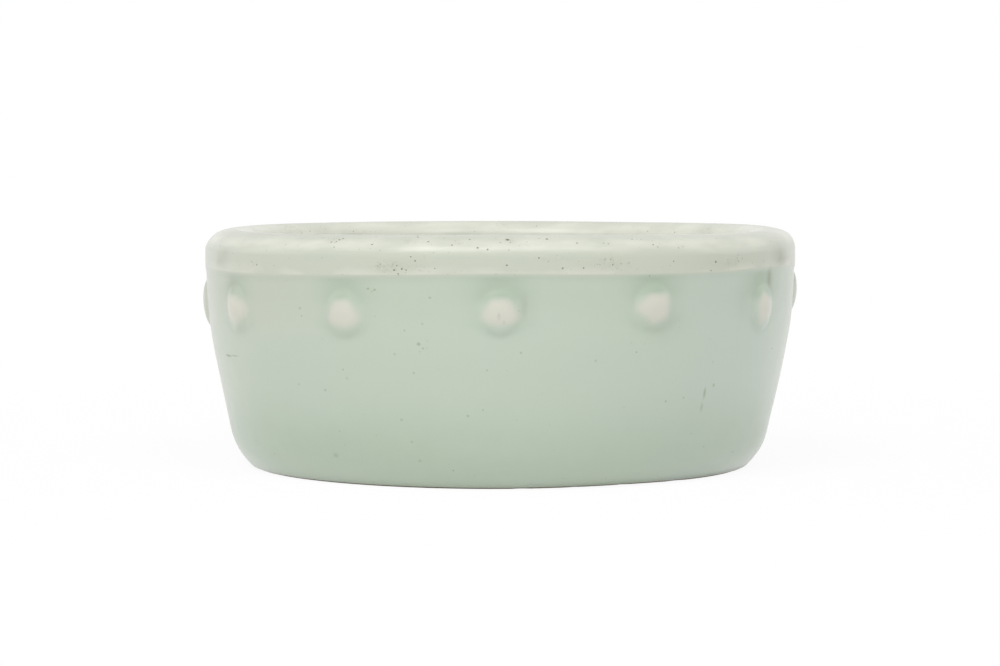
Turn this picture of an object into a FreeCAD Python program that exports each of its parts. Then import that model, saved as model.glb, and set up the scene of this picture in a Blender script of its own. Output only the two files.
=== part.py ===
# A brush washer: a low glazed bowl with a rolled collar and a ring of applied bosses under it.
# All sizes are in millimetres. The origin is the centre of the foot, on the surface it stands on,
# +Z is up and -Y is the front. Every round piece turns about Z.
#
# The sizes of the outline are those of the glazed surface, the one that a caliper would touch.
# The clay lies one glaze thickness inside it. The pieces are luted with slip and fired together,
# so neighbours share their faces with no gap.
import FreeCAD, Part
import math
import os

Vector = FreeCAD.Vector

# Overall
HEIGHT = 48.2
COLLAR_RADIUS = 60.0

# Glaze
GLAZE = 0.45
BOSS_GLAZE = 0.12
GLAZE_LINE = 0.8
BASE_MENISCUS = 0.9

# Collar: a thick roll round the mouth, taller outside than inside
COLLAR_HEIGHT = 8.3
CREST_INSET = 5.8
CROWN_RADIUS = 8.3
SHOULDER_RADIUS = 3.9
NOSE_RADIUS = 3.6
UNDERCUT_ANGLE = 50.0
UNDERCUT_RADIUS = 2.4
COLLAR_EDGE_RADIUS = 1.0
COLLAR_TONGUE_WIDTH = 2.0
COLLAR_TONGUE_HEIGHT = 1.6

# Wall: upright just under the collar, then leaning in to a rounded corner
NECK_STEP = 0.25
NECK_FILLET_RADIUS = 1.0
WALL_CURVE_RADIUS = 90.0
WALL_LEAN = 11.6
WALL_THICKNESS = 4.8
CORNER_RADIUS = 13.9
CORNER_CENTRE_HEIGHT = 10.4

# Well
WELL_LEAN = 7.0
WELL_CORNER_RADIUS = 9.0
FLOOR_THICKNESS = 4.6

# Foot
FOOT_WIDTH = 5.4
FOOT_CHAMFER = 0.4
RECESS_DEPTH = 2.2
FOOT_TONGUE_WIDTH = 2.2
FOOT_TONGUE_HEIGHT = 0.9

# Bosses: flattened buttons of clay, each seated in a shallow pocket in the wall
BOSS_COUNT = 12
BOSS_RADIUS = 4.0
BOSS_HEIGHT = 1.3
BOSS_CROWN_RADIUS = 9.5
BOSS_SHOULDER_RADIUS = 1.1
BOSS_SEAT = 0.6
BOSS_GAP = 1.8
BOSS_MENISCUS = 2.5
# They were pressed on by hand. How far each one is above an even ring, and how many degrees past its
# even place, from the front towards +X
BOSS_RISES = (0.1, 0.75, -0.4, 1.4, 0.3, -0.35, 0.5, -0.2, 0.2, -0.5, -0.6, -0.5)
BOSS_SLIPS = (0.0, -0.9, -1.0, 0.3, 0.6, -0.5, 0.4, 0.7, -0.6, -0.2, 0.6, 0.5)

# Larger than any piece, for the blocks that split the clay
BEYOND = 4 * COLLAR_RADIUS + 4 * HEIGHT


def turned(angle):
    """The unit vector (radial, height) at an angle in degrees from the horizontal."""
    return math.cos(math.radians(angle)), math.sin(math.radians(angle))


def crossing(first_normal, first_reach, second_normal, second_reach):
    """The point whose reach along each of two directions is given."""
    (a, b), (c, d) = first_normal, second_normal
    det = a * d - b * c
    return (first_reach * d - b * second_reach) / det, (a * second_reach - c * first_reach) / det


class Bend:
    """One arc of the glazed outline, told by its centre, its radius and the angles of the outward normal
    at its two ends. A hollow bend has its centre in the air, a full one in the clay."""

    def __init__(self, centre, radius, start, end, hollow=False):
        self.centre = centre
        self.radius = radius
        self.start = start
        self.end = end
        self.side = -1 if hollow else 1

    def point(self, angle, inset=0.0):
        """The point with that outward normal, inset below the glazed surface."""
        reach = self.side * self.radius - inset
        across, up = turned(angle)
        return self.centre[0] + reach * across, self.centre[1] + reach * up

    def edge(self, inset, start, end):
        """The arc between two normals, inset below the glazed surface."""
        ends = [self.point(angle, inset) for angle in (start, (start + end) / 2, end)]
        return Part.Arc(*[Vector(r, 0, z) for r, z in ends]).toShape()

    def angle_at(self, height, inset=0.0):
        """The normal's angle where a full outside bend reaches that height."""
        share = (height - self.centre[1]) / (self.radius - inset)
        return math.degrees(math.asin(max(-1.0, min(1.0, share))))


def outline():
    """The bends of the glazed surface, from the foot's outer edge up, over the mouth and down to the floor."""
    neck_height = HEIGHT - COLLAR_HEIGHT
    # Collar edge and neck fillet: an S from the collar's face to the wall, one neck step further in
    s_radii = COLLAR_EDGE_RADIUS + NECK_FILLET_RADIUS
    s_angle = math.degrees(math.acos(1 - NECK_STEP / s_radii))
    neck_radius = COLLAR_RADIUS - NECK_STEP
    fillet_centre = (neck_radius + NECK_FILLET_RADIUS, neck_height)
    edge_centre = (COLLAR_RADIUS - COLLAR_EDGE_RADIUS, neck_height + s_radii * turned(s_angle)[1])
    # Wall: upright at the neck, and tangent to the straight stretch above the corner
    wall = Bend((neck_radius - WALL_CURVE_RADIUS, neck_height), WALL_CURVE_RADIUS, -WALL_LEAN, 0)
    wall_low = wall.point(-WALL_LEAN)
    wall_normal = turned(-WALL_LEAN)
    wall_reach = wall_low[0] * wall_normal[0] + wall_low[1] * wall_normal[1]
    corner_centre = crossing(wall_normal, wall_reach - CORNER_RADIUS, (0, 1), CORNER_CENTRE_HEIGHT)
    foot_angle = -math.degrees(math.asin(min(1.0, CORNER_CENTRE_HEIGHT / CORNER_RADIUS)))
    # Collar roll: the shoulder touches the crown from inside it, and the nose starts at the crest
    crest_radius = COLLAR_RADIUS - CREST_INSET
    crown_centre = (crest_radius, HEIGHT - CROWN_RADIUS)
    shoulder_cos = (CREST_INSET - SHOULDER_RADIUS) / (CROWN_RADIUS - SHOULDER_RADIUS)
    shoulder_angle = math.degrees(math.acos(shoulder_cos))
    shoulder_rise = (CROWN_RADIUS - SHOULDER_RADIUS) * turned(shoulder_angle)[1]
    shoulder_centre = (COLLAR_RADIUS - SHOULDER_RADIUS, crown_centre[1] + shoulder_rise)
    nose_end = 180 + UNDERCUT_ANGLE
    nose = Bend((crest_radius, HEIGHT - NOSE_RADIUS), NOSE_RADIUS, 90, nose_end)
    # Well: a straight leaning wall, with a hollow bend under the lip and another at the floor
    well_radius = neck_radius - WALL_THICKNESS - 2 * GLAZE
    well_end = 180 - WELL_LEAN
    well_normal = turned(well_end)
    well_reach = well_radius * well_normal[0] + neck_height * well_normal[1]
    under_normal = turned(nose_end)
    under_from = nose.point(nose_end)
    under_reach = under_from[0] * under_normal[0] + under_from[1] * under_normal[1]
    under_centre = crossing(under_normal, under_reach + UNDERCUT_RADIUS, well_normal, well_reach + UNDERCUT_RADIUS)
    floor_height = RECESS_DEPTH + FLOOR_THICKNESS + GLAZE
    well_centre = crossing(
        well_normal, well_reach + WELL_CORNER_RADIUS, (0, 1), floor_height + WELL_CORNER_RADIUS
    )
    return {
        "corner": Bend(corner_centre, CORNER_RADIUS, foot_angle, -WALL_LEAN),
        "wall": wall,
        "neck_fillet": Bend(fillet_centre, NECK_FILLET_RADIUS, 0, -s_angle, hollow=True),
        "collar_edge": Bend(edge_centre, COLLAR_EDGE_RADIUS, -s_angle, 0),
        "shoulder": Bend(shoulder_centre, SHOULDER_RADIUS, 0, shoulder_angle),
        "crown": Bend(crown_centre, CROWN_RADIUS, shoulder_angle, 90),
        "nose": nose,
        "undercut": Bend(under_centre, UNDERCUT_RADIUS, nose_end, well_end, hollow=True),
        "well_corner": Bend(well_centre, WELL_CORNER_RADIUS, well_end, 90, hollow=True),
    }


BENDS = outline()


def line(first, last):
    """A straight edge in the section plane."""
    return Part.LineSegment(Vector(first[0], 0, first[1]), Vector(last[0], 0, last[1])).toShape()


def surface_edges(inset, foot_height):
    """The outline's edges, inset below the glazed surface, from foot_height up and round to the floor's
    centre, and the outline's two end points."""
    edges = []
    last = None
    for name, bend in BENDS.items():
        start = bend.angle_at(foot_height, inset) if name == "corner" else bend.start
        here = bend.point(start, inset)
        if last and math.dist(last, here) > 1e-6:
            edges.append(line(last, here))
        edges.append(bend.edge(inset, start, bend.end))
        last = bend.point(bend.end, inset)
    first = BENDS["corner"].point(BENDS["corner"].angle_at(foot_height, inset), inset)
    centre = (0.0, last[1])
    edges.append(line(last, centre))
    return edges, first, centre


def revolved(edges):
    """The solid that a closed section sweeps about Z."""
    face = Part.Face(Part.Wire(Part.__sortEdges__(edges)))
    return face.revolve(Vector(0, 0, 0), Vector(0, 0, 1), 360)


def revolved_polygon(corners):
    """The solid that a section with straight sides sweeps about Z."""
    return revolved([line(a, b) for a, b in zip(corners, corners[1:] + corners[:1])])


def ring(inner, outer, low, high):
    """A plain turned ring, or a disc where inner is 0."""
    return revolved_polygon([(inner, low), (outer, low), (outer, high), (inner, high)])


def clay():
    """The whole clay form in one, before it is split into its luted pieces: wall, collar and foot."""
    edges, first, centre = surface_edges(GLAZE, 0.0)
    foot_inner = first[0] - FOOT_WIDTH
    corners = [
        (first[0], first[1]),
        (foot_inner, 0.0),
        (foot_inner, RECESS_DEPTH),
        (0.0, RECESS_DEPTH),
        centre,
    ]
    edges += [line(a, b) for a, b in zip(corners, corners[1:])]
    return revolved(edges), first[0], foot_inner


def boss_frame(index):
    """Where a boss sits on the clay wall: its centre, and the wall's outward direction there."""
    wall = BENDS["wall"]
    height = wall.centre[1] - BOSS_GAP - BOSS_RADIUS + BOSS_RISES[index % len(BOSS_RISES)]
    angle = max(wall.angle_at(height, GLAZE), -WALL_LEAN)
    radius, _ = wall.point(angle, GLAZE)
    across, up = turned(angle)
    turn = math.radians(360 * index / BOSS_COUNT - 90 + BOSS_SLIPS[index % len(BOSS_SLIPS)])
    outward = Vector(across * math.cos(turn), across * math.sin(turn), up)
    return Vector(radius * math.cos(turn), radius * math.sin(turn), height), outward


def seated(shape, index):
    """A shape modelled about Z, moved so that its Z axis leaves the wall at that boss."""
    centre, outward = boss_frame(index)
    moved = shape.copy()
    moved.Placement = FreeCAD.Placement(centre, FreeCAD.Rotation(Vector(0, 0, 1), outward))
    return moved


def boss_bends(cover=0.0):
    """The arcs of a boss's face about Z, swollen by a cover: a broad crown, and a round shoulder that
    touches it from inside. Height 0 is the wall's clay."""
    crown_centre = (0.0, BOSS_HEIGHT - BOSS_CROWN_RADIUS)
    across = BOSS_RADIUS - BOSS_SHOULDER_RADIUS
    rise = math.sqrt((BOSS_CROWN_RADIUS - BOSS_SHOULDER_RADIUS) ** 2 - across**2)
    join = math.degrees(math.atan2(rise, across))
    crown = Bend(crown_centre, BOSS_CROWN_RADIUS + cover, join, 90)
    shoulder = Bend((across, crown_centre[1] + rise), BOSS_SHOULDER_RADIUS + cover, 0, join)
    return crown, shoulder


def boss_button():
    """One boss about Z: a flat-backed root in the wall, and a flattened face standing proud of it."""
    crown, shoulder = boss_bends()
    side = shoulder.point(0)
    corners = [side, (BOSS_RADIUS, -BOSS_SEAT), (0.0, -BOSS_SEAT), crown.point(90)]
    arcs = [bend.edge(0.0, bend.start, bend.end) for bend in (crown, shoulder)]
    return revolved(arcs + [line(a, b) for a, b in zip(corners, corners[1:])])


def boss_glaze():
    """The glaze over one boss, about Z, with the clay still in it: thin on the tip, and flaring into the
    wall's glaze with a hollow meniscus whose skirt lies just under that glaze."""
    crown, shoulder = boss_bends(BOSS_GLAZE)
    skirt_height = GLAZE - (BOSS_RADIUS + BOSS_MENISCUS) ** 2 / (2 * COLLAR_RADIUS)
    hollow_height = skirt_height + BOSS_MENISCUS
    rise = hollow_height - shoulder.centre[1]
    across = math.sqrt((shoulder.radius + BOSS_MENISCUS) ** 2 - rise**2)
    join = math.degrees(math.atan2(rise, across))
    hollow_radius = shoulder.centre[0] + across
    hollow = Bend((hollow_radius, hollow_height), BOSS_MENISCUS, join, 90, hollow=True)
    corners = [hollow.point(90), (hollow_radius, -BOSS_SEAT), (0.0, -BOSS_SEAT), crown.point(90)]
    arcs = [
        crown.edge(0.0, crown.start, 90),
        shoulder.edge(0.0, join, shoulder.end),
        hollow.edge(0.0, join, 90),
    ]
    return revolved(arcs + [line(a, b) for a, b in zip(corners, corners[1:])])


def split_clay(whole, foot_outer, foot_inner):
    """The thrown body, the collar luted on its rim and the foot ring luted under it. Each joint has a
    raised tongue on one piece that seats in a groove of the other."""
    wall_outer, neck_height = BENDS["wall"].point(0, GLAZE)
    below = ring(0, BEYOND, -BEYOND, RECESS_DEPTH)
    above = ring(0, BEYOND, neck_height, BEYOND)
    collar_mid = wall_outer - WALL_THICKNESS / 2
    foot_mid = (foot_inner + foot_outer) / 2
    collar_tongue = ring(
        collar_mid - COLLAR_TONGUE_WIDTH / 2,
        collar_mid + COLLAR_TONGUE_WIDTH / 2,
        neck_height,
        neck_height + COLLAR_TONGUE_HEIGHT,
    )
    foot_tongue = ring(
        foot_mid - FOOT_TONGUE_WIDTH / 2,
        foot_mid + FOOT_TONGUE_WIDTH / 2,
        RECESS_DEPTH,
        RECESS_DEPTH + FOOT_TONGUE_HEIGHT,
    )
    body = whole.cut(below).cut(above).fuse(collar_tongue).cut(foot_tongue)
    collar = whole.common(above).cut(collar_tongue)
    foot = whole.common(below).fuse(foot_tongue)
    return body.removeSplitter(), collar.removeSplitter(), foot.removeSplitter()


def eased_foot(foot):
    """The foot ring with both edges of its standing face turned off at 45 degrees."""
    corners = [
        edge
        for edge in foot.Edges
        if all(abs(vertex.Z) < 1e-6 for vertex in edge.Vertexes) and edge.BoundBox.ZLength < 1e-6
    ]
    return foot.makeChamfer(FOOT_CHAMFER, corners)


def glaze_coat(whole, bosses):
    """One coat from the bare foot over the wall, the bosses, the collar and the well."""
    outer, first, centre = surface_edges(0.0, GLAZE_LINE)
    inner, inner_first, inner_centre = surface_edges(GLAZE, GLAZE_LINE)
    coat = revolved(outer + inner + [line(first, inner_first), line(centre, inner_centre)])
    bump = boss_glaze()
    bumps = [seated(bump, i).cut(whole) for i in range(BOSS_COUNT)]
    return coat.fuse(bumps).cut(bosses).removeSplitter()


def base_glaze(foot_inner):
    """The glaze in the recess under the base, rising a little on the inside of the foot."""
    low = RECESS_DEPTH - GLAZE
    hollow = Bend((foot_inner - BASE_MENISCUS, low - BASE_MENISCUS), BASE_MENISCUS, -90, -180, hollow=True)
    corners = [(foot_inner, low - BASE_MENISCUS), (foot_inner, RECESS_DEPTH), (0.0, RECESS_DEPTH), (0.0, low)]
    corners.append((foot_inner - BASE_MENISCUS, low))
    edges = [line(a, b) for a, b in zip(corners, corners[1:])]
    return revolved(edges + [hollow.edge(0.0, -90, -180)])


def solids_of(shape):
    """A shape as one solid, or as a compound of its solids."""
    return shape.Solids[0] if len(shape.Solids) == 1 else Part.makeCompound(shape.Solids)


def build():
    """Every piece by its node's name."""
    whole, foot_outer, foot_inner = clay()
    button = boss_button()
    bosses = [seated(button, i) for i in range(BOSS_COUNT)]
    body, collar, foot = split_clay(whole, foot_outer, foot_inner)
    pieces = {
        "thrown_body": body.cut(bosses),
        "rim_collar": collar,
        "foot_ring": eased_foot(foot),
        "glaze_coat": glaze_coat(whole, bosses),
        "base_glaze": base_glaze(foot_inner),
    }
    for i, boss in enumerate(bosses):
        pieces[f"boss_{i + 1:02d}"] = boss
    return pieces


os.makedirs("parts", exist_ok=True)
for name, piece in build().items():
    solids_of(piece).exportStep(f"parts/{name}.step")
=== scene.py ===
"""Brush washer: the glazed surfaces, the bare foot, their finishes and a plain studio around the fixed frame.

Everything is in metres in the frame's own axes: +Z up, -Y towards the viewer. A section is drawn in the
(radius, height) plane and turned about Z. A grid has one row for each point of its section and one
column for each angle.
"""

import math

import bpy
import numpy as np
from bpy.props import FloatProperty, FloatVectorProperty, IntProperty, PointerProperty
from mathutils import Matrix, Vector


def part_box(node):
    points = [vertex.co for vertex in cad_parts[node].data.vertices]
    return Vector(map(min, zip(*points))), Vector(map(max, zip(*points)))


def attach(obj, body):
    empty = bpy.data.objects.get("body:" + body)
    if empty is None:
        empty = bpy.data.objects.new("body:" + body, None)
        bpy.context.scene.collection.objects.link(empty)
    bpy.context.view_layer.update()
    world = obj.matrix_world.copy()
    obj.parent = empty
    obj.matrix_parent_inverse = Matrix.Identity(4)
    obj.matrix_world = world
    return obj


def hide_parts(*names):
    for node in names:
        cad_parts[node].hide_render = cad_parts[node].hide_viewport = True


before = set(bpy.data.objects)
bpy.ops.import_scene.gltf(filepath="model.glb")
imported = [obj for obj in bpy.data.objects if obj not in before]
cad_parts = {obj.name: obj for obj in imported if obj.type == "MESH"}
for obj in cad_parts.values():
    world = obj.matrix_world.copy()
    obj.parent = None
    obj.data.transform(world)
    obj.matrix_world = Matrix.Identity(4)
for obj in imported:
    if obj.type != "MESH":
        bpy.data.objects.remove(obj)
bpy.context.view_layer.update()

bl_info = {
    "name": "Brush Washer",
    "version": (1, 0, 0),
    "blender": (4, 5, 0),
    "location": "View3D > Sidebar > Washer",
    "description": "Glazed brush washer with a rolled collar and a ring of bosses",
    "category": "Add Mesh",
}

MM = 0.001

# Read from the frame: the clay's boxes give the glaze's thickness and the outline's main radii
COLLAR_LOW, COLLAR_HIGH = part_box("rim_collar")
BODY_LOW, BODY_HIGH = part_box("thrown_body")
COAT_LOW, COAT_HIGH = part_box("glaze_coat")
HEIGHT = COAT_HIGH.z
GLAZE = COAT_HIGH.z - COLLAR_HIGH.z
COLLAR_RADIUS = COLLAR_HIGH.x + GLAZE
NECK_RADIUS = BODY_HIGH.x + GLAZE
NECK_HEIGHT = COLLAR_LOW.z
GLAZE_LINE = COAT_LOW.z
RECESS_DEPTH = BODY_LOW.z
BOSS_NODES = sorted(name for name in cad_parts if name.startswith("boss_"))

# The longest step and the widest turn between points of a section, on the face and on the hidden back
FACE_STEPS = (1.0 * MM, math.radians(5))
BACK_STEPS = (2.0 * MM, math.radians(12))
# The coat counts as the well inside this radius
WELL_RADIUS = 43 * MM

# One number for each boss, from the front one round towards +X: how far its bare tip reaches sideways and
# up, how far the tip and the whole boss sit under the node's centre, how much longer than wide it is and how
# much thicker its glaze is
TIP_WIDTHS = (3.2, 3.3, 2.9, 3.0, 3.1, 2.8, 3.2, 2.9, 3.0, 3.1, 3.9, 3.1)
TIP_HEIGHTS = (2.5, 2.7, 2.8, 2.6, 2.5, 2.3, 2.7, 2.4, 2.5, 2.8, 2.7, 2.6)
TIP_DROPS = (0.3, 0.35, 0.4, 0.1, 0.2, 0.1, 0.0, 0.2, 0.1, 0.3, 0.5, 0.35)
BOSS_DROPS = (0.2, 0.2, 0.2, 0.1, 0.1, 0.0, 0.1, 0.2, 0.0, 0.7, 0.3, 0.2)
BOSS_STRETCHES = (1.07, 1.06, 1.06, 1.04, 1.02, 0.98, 1.03, 1.05, 1.0, 1.19, 1.09, 1.07)
BOSS_SWELLS = (0.0, 0.0, 0.0, 0.05, 0.0, 0.05, 0.0, 0.05, 0.0, 0.18, 0.0, 0.0)
# How green the glaze is that has pooled over each boss
BOSS_POOLS = (0.75, 0.85, 1.4, 0.7, 0.6, 0.8, 0.7, 0.9, 0.6, 0.7, 0.6, 0.62)

# Every 15 degrees, from the front round towards +X, in mm: how far the rim sinks out of true, and how far
# the collar's lower edge hangs down
RIM_SINKS = (
    (0.00, 0.05, 0.18, 0.34, 0.46, 0.32, 0.12, -0.02)
    + (0.03, 0.12, 0.22, 0.16, 0.10, 0.09, 0.03, 0.05)
    + (0.00, 0.10, 0.20, 0.26, 0.38, 0.34, 0.18, 0.05)
)
EDGE_DROPS = (
    (-0.46, -0.10, -0.06, 0.02, -0.55, -0.30, 0.00, 0.00)
    + (-0.10, 0.10, 0.00, -0.10, 0.10, 0.00, 0.10, -0.05)
    + (0.10, 0.20, 0.06, 0.40, 0.70, 0.55, 0.14, -0.05)
)


def screen_colour(red, green, blue):
    """A colour as it is written on screen, 0 to 255, turned into the light that it stands for."""
    shares = np.array([red, green, blue]) / 255
    light = np.where(shares <= 0.04045, shares / 12.92, ((shares + 0.055) / 1.055) ** 2.4)
    return tuple(float(value) for value in light)


def length(name, description, value):
    """A length in metres that the sidebar shows in the scene's unit."""
    shown = {"min": 0.0, "unit": "LENGTH", "precision": 5}
    return FloatProperty(name=name, description=description, default=value, **shown)


def lean(name, description, degrees):
    """An angle, kept in radians, that the sidebar shows in degrees."""
    return FloatProperty(name=name, description=description, default=math.radians(degrees), subtype="ANGLE")


def share(name, description, value, highest=1.0):
    """A plain number from 0 to its highest value."""
    return FloatProperty(name=name, description=description, default=value, min=0.0, max=highest)


def count(name, description, value):
    """A whole number of at least 1."""
    return IntProperty(name=name, description=description, default=value, min=1)


def colour(name, description, red, green, blue):
    """A colour, written as it looks on screen."""
    return FloatVectorProperty(
        name=name,
        description=description,
        default=screen_colour(red, green, blue),
        subtype="COLOR",
        min=0.0,
        max=1.0,
    )


class WasherShape(bpy.types.PropertyGroup):
    """The section of the bowl, the bosses and the foot, where the frame's boxes don't give them."""

    crest_inset: length("Crest inset", "From the collar's face in to the highest circle of the lip", 5.8 * MM)
    crown_radius: length("Crown radius", "Radius of the collar's top between crest and shoulder", 8.3 * MM)
    shoulder_radius: length("Shoulder radius", "Radius of the collar's outer shoulder", 3.9 * MM)
    nose_radius: length("Nose radius", "Radius of the lip's inner roll", 3.6 * MM)
    undercut_angle: lean("Undercut", "How far the lip's roll turns back under itself", 50)
    undercut_radius: length("Undercut radius", "Hollow under the lip", 2.4 * MM)
    edge_radius: length("Collar edge radius", "Lower edge of the collar", 2.0 * MM)
    neck_fillet: length("Neck fillet", "Hollow where the collar meets the wall", 5.0 * MM)
    neck_drop: length("Neck drop", "How far the glaze's step has run down from the clay's", 0.8 * MM)
    wall_curve: length("Wall curve", "Radius of the wall's belly under the collar", 90 * MM)
    wall_lean: lean("Wall lean", "How far the lower wall leans in", 11.6)
    wall_thickness: length("Wall thickness", "Clay at the neck", 4.8 * MM)
    corner_radius: length("Corner radius", "Rounding of the wall into the foot", 13.9 * MM)
    corner_height: length("Corner centre", "Height of that rounding's centre", 10.4 * MM)
    well_lean: lean("Well lean", "How far the inside wall leans", 7)
    well_corner: length("Well corner", "Rounding of the inside wall into the floor", 9 * MM)
    floor_thickness: length("Floor thickness", "Clay between the recess and the well", 4.6 * MM)
    foot_width: length("Foot width", "Width of the ring that it stands on", 5.4 * MM)
    tongue_width: length("Tongue width", "Width of the ring's tongue in the body's groove", 2.2 * MM)
    foot_rounding: length("Foot rounding", "Worn edges of the foot ring", 0.4 * MM)
    base_meniscus: length("Base meniscus", "How far the recess's glaze climbs the foot", 0.9 * MM)
    boss_radius: length("Boss radius", "Clay button's radius", 4 * MM)
    boss_height: length("Boss height", "Clay button's height over the wall's clay", 1.3 * MM)
    boss_crown: length("Boss crown", "Radius of the button's broad face", 9.5 * MM)
    boss_shoulder: length("Boss shoulder", "Radius of the button's round edge", 1.1 * MM)
    boss_cover: length("Boss glaze", "Glaze over the button's tip", 0.12 * MM)
    boss_meniscus: length("Boss meniscus", "Hollow of glaze between button and wall", 4.0 * MM)
    boss_slump: share("Boss slump", "How much longer a boss is below than above", 1.05, highest=2.0)
    throwing_depth: length("Throwing rings", "Depth of the finger's rings in the well", 0.05 * MM)
    throwing_pitch: length("Ring spacing", "From one throwing ring to the next", 3.4 * MM)
    glaze_run: length("Glaze run", "How far the glaze has run down past the clay's glaze line", 0.50 * MM)
    bead_drop: length("Bead drop", "How far the glaze's rounded edge sags between its two faces", 0.06 * MM)
    foot_swell: length("Foot swell", "How far the bare foot stands out to meet the glaze's edge", 0.50 * MM)
    columns_on_boss: count("Columns on a boss", "Grid columns across one boss", 20)
    columns_between: count("Columns between", "Grid columns between bosses", 8)


class WasherLook(bpy.types.PropertyGroup):
    """Colours and gloss of the glaze and the clay."""

    wall_green: colour("Wall green", "Glaze of even thickness", 188, 199, 183)
    wall_grey: colour("Wall grey", "Its cooler patches", 188, 199, 187)
    # Also the colour of painted shade under the collar and low on the wall
    pool_green: colour("Pool green", "Where the glaze lies thick", 169, 184, 166)
    # Also the colour of the painted reflection at the sides
    rim_cream: colour("Rim cream", "Thinner glaze on the collar", 194, 198, 184)
    # Also the colour of the painted highlight on the collar's shoulder and far lip
    edge_cream: colour("Edge cream", "Where it has run thin over an edge", 219, 220, 207)
    tip_cream: colour("Boss cream", "Clay showing through the thinnest glaze", 206, 205, 193)
    pit_brown: colour("Pit brown", "Pinholes and iron specks", 106, 104, 84)
    smudge_green: colour("Smudge", "Stains in the glaze", 140, 155, 130)
    # Painted shade: also the colour of painted dark reflections and of a few darker clouds in the glaze
    shade_grey: colour("Shade", "Dull, darker bands of glaze", 133, 135, 111)
    clay_buff: colour("Clay", "Fired clay under the glaze", 205, 192, 175)
    foot_tan: colour("Foot tan", "Bare clay, burnt in the kiln", 164, 154, 141)
    foot_burn: colour("Foot burn", "Its most burnt parts", 140, 125, 110)
    grit_brown: colour("Grit", "Dark grains in the bare clay", 96, 74, 60)
    gloss_roughness: share("Glaze roughness", "How soft the glaze's reflections are", 0.27)
    drift_size: length("Drift", "Width of the glaze's broad patches", 26 * MM)
    cloud_size: length("Clouds", "Width of its small clouds", 5 * MM)
    peel_size: length("Peel", "Width of the surface's faint dimples", 2.6 * MM)
    pit_spacing: length("Pit spacing", "Distance between possible pinholes", 0.8 * MM)
    speck_wobble: length("Speck wobble", "How ragged the largest pinholes' edges are", 0.15 * MM)
    grit_size: length("Grain", "Grain of the bare clay", 0.5 * MM)


class WasherStage(bpy.types.PropertyGroup):
    """Floor, lamps and camera."""

    floor_radius: length("Floor radius", "Radius of the floor", 4.0)
    floor_grey: colour("Floor", "Colour of the floor", 244, 244, 243)
    floor_glow: share("Floor glow", "Share of plain white in the floor near the washer, as it is seen", 0.92)
    glow_reach: length("Glow reach", "Distance at which the floor is seen as plain white", 0.30)
    daylight: share("Daylight", "Strength of the light from all round", 0.60, highest=5.0)
    left_watts: share("Left lamp", "Power of the left softbox in watts", 10.0, highest=50.0)
    right_watts: share("Right lamp", "Power of the right softbox in watts", 4.6, highest=50.0)
    side_watts: share("Side lamps", "Power of each softbox at the side in watts", 1.8, highest=50.0)
    lamp_distance: length("Lamp distance", "From the washer to each softbox", 1.6)
    lamp_turn: lean("Lamp turn", "How far round from the camera each softbox stands", 29)
    lamp_height: lean("Lamp height", "How high each softbox stands over the floor", 50)
    left_width: length("Left lamp width", "Side of the left softbox", 0.80)
    right_width: length("Right lamp width", "Side of the right softbox", 0.60)
    side_turn: lean("Side turn", "How far round from the camera the side softboxes stand", 105)
    side_height: lean("Side height", "How high the side softboxes stand over the floor", 22)
    side_width: length("Side width", "Side of each softbox at the side", 0.9)
    camera_distance: length("Camera distance", "From the washer's axis to the camera", 630.3 * MM)
    camera_rise: lean("Camera rise", "How far above level the camera looks from", 3.503)
    camera_aim: length("Camera aim", "Height on the axis that the camera looks at", 26.485 * MM)
    camera_lens: FloatProperty(name="Lens", description="Focal length in mm on a 36 mm frame", default=110.9)


class Bend:
    """One arc of a section. Point = centre + reach * (cos a, sin a) with a the outward normal's angle and
    reach = radius - inset, or -(radius + inset) for a hollow arc, whose centre is out in the air."""

    def __init__(self, centre, radius, start, end, hollow=False):
        self.centre = np.array(centre)
        self.radius = radius
        self.start = start
        self.end = end
        self.side = -1 if hollow else 1

    def at(self, angle, inset=0.0):
        """Points of the arc at these normal angles."""
        reach = self.side * self.radius - inset
        return self.centre + reach * np.stack([np.cos(angle), np.sin(angle)], axis=-1)

    def angle_at(self, height, inset=0.0):
        """The normal's angle where a full arc on the outside reaches that height."""
        return math.asin((height - self.centre[1]) / (self.radius - inset))

    def sampled(self, gap, turn, inset=0.0):
        """Evenly spaced points, no further apart than gap, or than turn as an angle, and their normals."""
        swing = abs(self.end - self.start)
        count = 1 + math.ceil(max(swing * self.radius / gap, swing / turn, 1))
        angles = np.linspace(self.start, self.end, count)
        return self.at(angles, inset), np.stack([np.cos(angles), np.sin(angles)], axis=-1)


def crossing(first_normal, first_reach, second_normal, second_reach):
    """The point whose reach along each of two directions is given: two equations, two unknowns."""
    return np.linalg.solve(np.array([first_normal, second_normal]), np.array([first_reach, second_reach]))


def heading(angle):
    """The unit vector (radial, height) at an angle."""
    return np.array([math.cos(angle), math.sin(angle)])


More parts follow.
